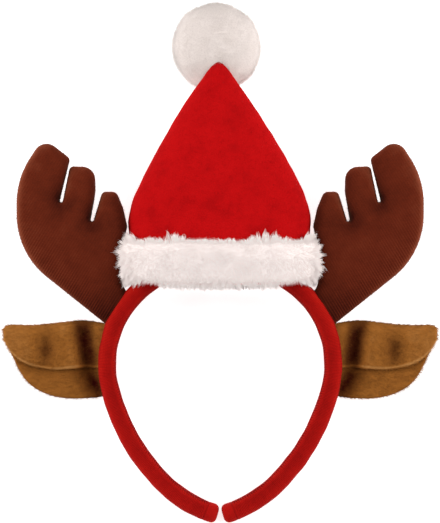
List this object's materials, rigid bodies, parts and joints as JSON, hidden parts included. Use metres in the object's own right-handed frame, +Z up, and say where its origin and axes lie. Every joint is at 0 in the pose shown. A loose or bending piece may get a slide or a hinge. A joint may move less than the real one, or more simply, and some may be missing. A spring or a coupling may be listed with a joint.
{
  "type": "reindeer antler headband",
  "caption": "Padded red headband with stuffed brown antlers, folded tan ears and a small red felt hat with white fur trim and pompom, lying on its back.",
  "frame": {"origin": "middle of the bounding box's underside; the headband lies on its back", "axes": "+X to the wearer's left, seen on the right from the front; +Y from the band's tips to the pompom; +Z up, out of the front of the headband"},
  "size_m": [0.2398, 0.2872, 0.0563],
  "materials": {
    "red_ribbed_cover": "fine ribbed stretch cloth over padding",
    "red_felt": "matt brushed felt",
    "white_fur": "long white fur",
    "white_plush": "short white plush",
    "brown_knit": "brushed brown knit with fine ribs",
    "tan_plush": "short tan plush"
  },
  "bodies": {
    "root": {"headband": "red_ribbed_cover", "hat": "red_felt", "fur_trim": "white_fur", "pompom": "white_plush", "antler_left": "brown_knit", "antler_right": "brown_knit", "ear_left": "tan_plush", "ear_right": "tan_plush"}
  },
  "joints": []
}
